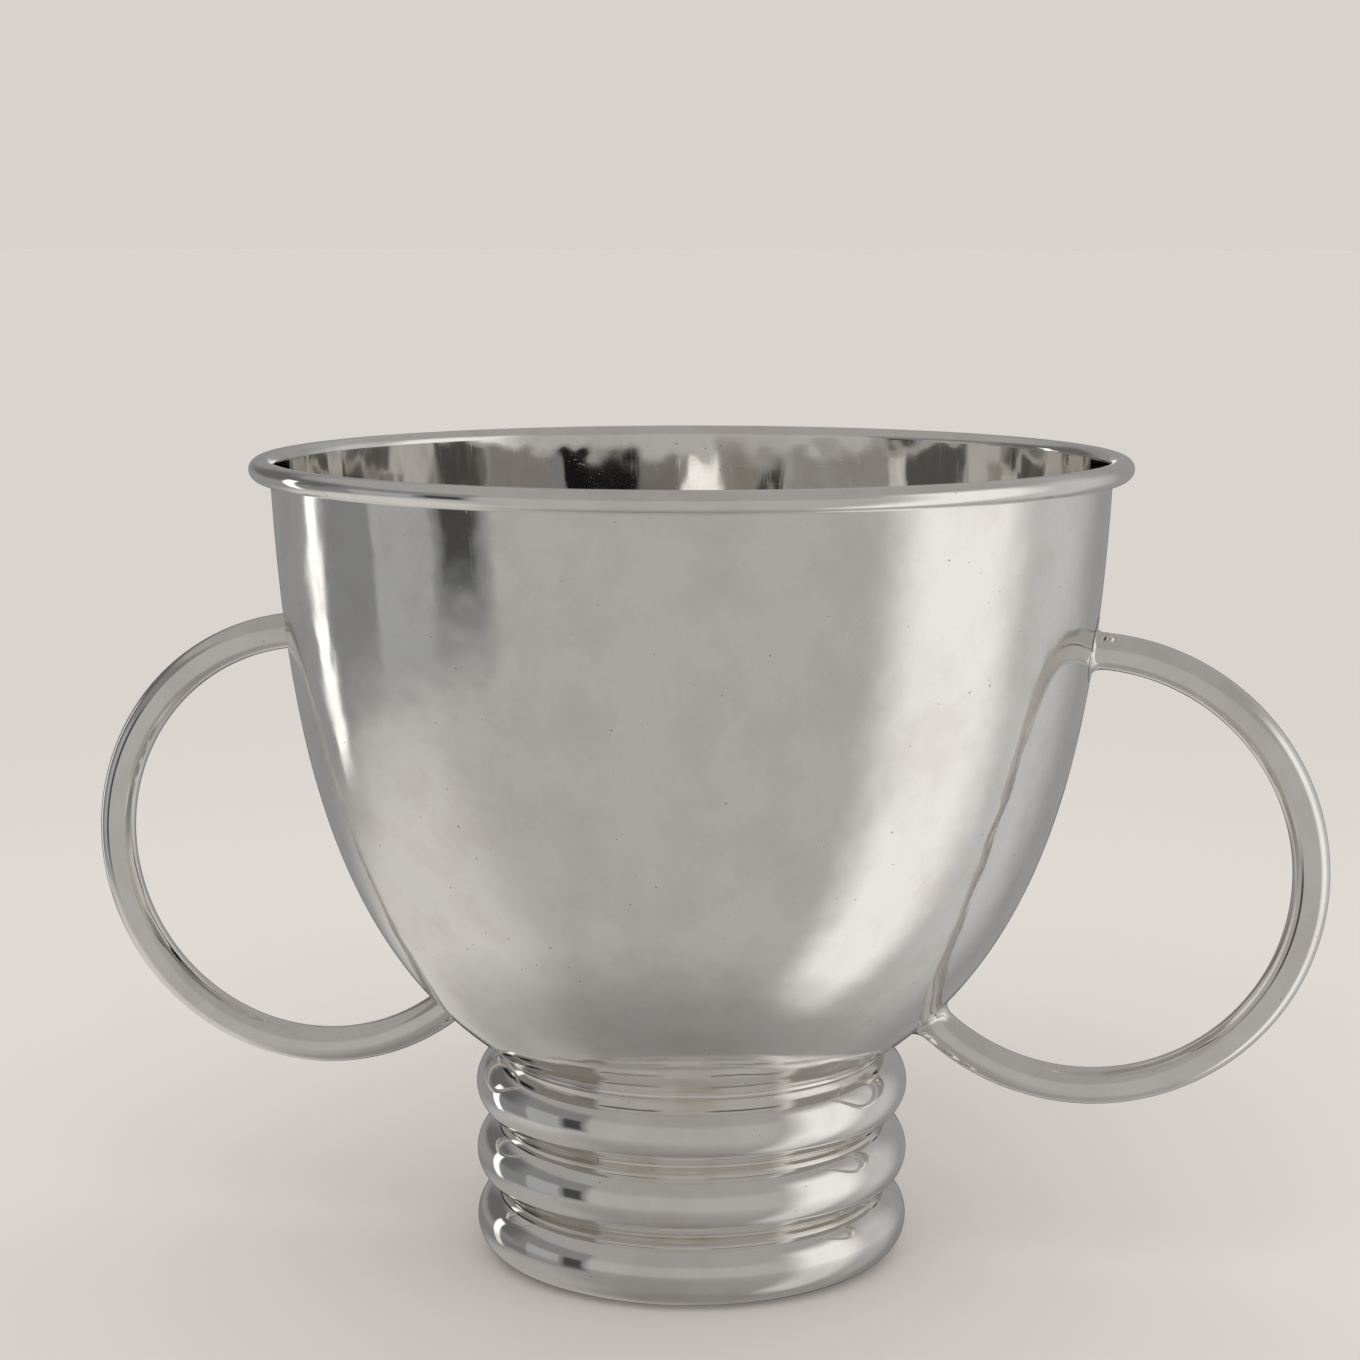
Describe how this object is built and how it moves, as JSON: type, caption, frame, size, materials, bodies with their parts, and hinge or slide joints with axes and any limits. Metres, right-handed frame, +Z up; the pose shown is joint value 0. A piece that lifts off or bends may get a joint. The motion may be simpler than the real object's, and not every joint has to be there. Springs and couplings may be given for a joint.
{
  "type": "champagne bucket",
  "caption": "Large silver-plated champagne bucket: deep round bowl with a rolled rim, two ring handles and a foot of stacked round rings.",
  "frame": {"origin": "centre of the foot, on the surface the bucket stands on", "axes": "+Z up the bucket's axis, X through the two ring handles"},
  "size_m": [0.523, 0.36, 0.3358],
  "materials": {
    "bowl_silver": "silver plate, polished, with a soft haze of fine wear and small pits",
    "foot_silver": "silver plate, bright mirror polish",
    "handle_silver": "silver plate, bright mirror polish",
    "solder": "silver solder, plated over and polished",
    "core_brass": "bare brass inside the piece, unpolished"
  },
  "bodies": {
    "root": {"bowl_shell": "bowl_silver", "rim_wire": "core_brass", "foot_ring_upper": "foot_silver", "foot_ring_middle": "foot_silver", "foot_ring_lower": "foot_silver", "foot_sleeve": "core_brass", "seam_lower_middle": "solder", "seam_middle_upper": "solder", "seam_upper_bowl": "solder", "handle_left": "handle_silver", "handle_right": "handle_silver", "joint_left_lower": "solder", "joint_left_upper": "solder", "joint_right_lower": "solder", "joint_right_upper": "solder"}
  },
  "joints": []
}
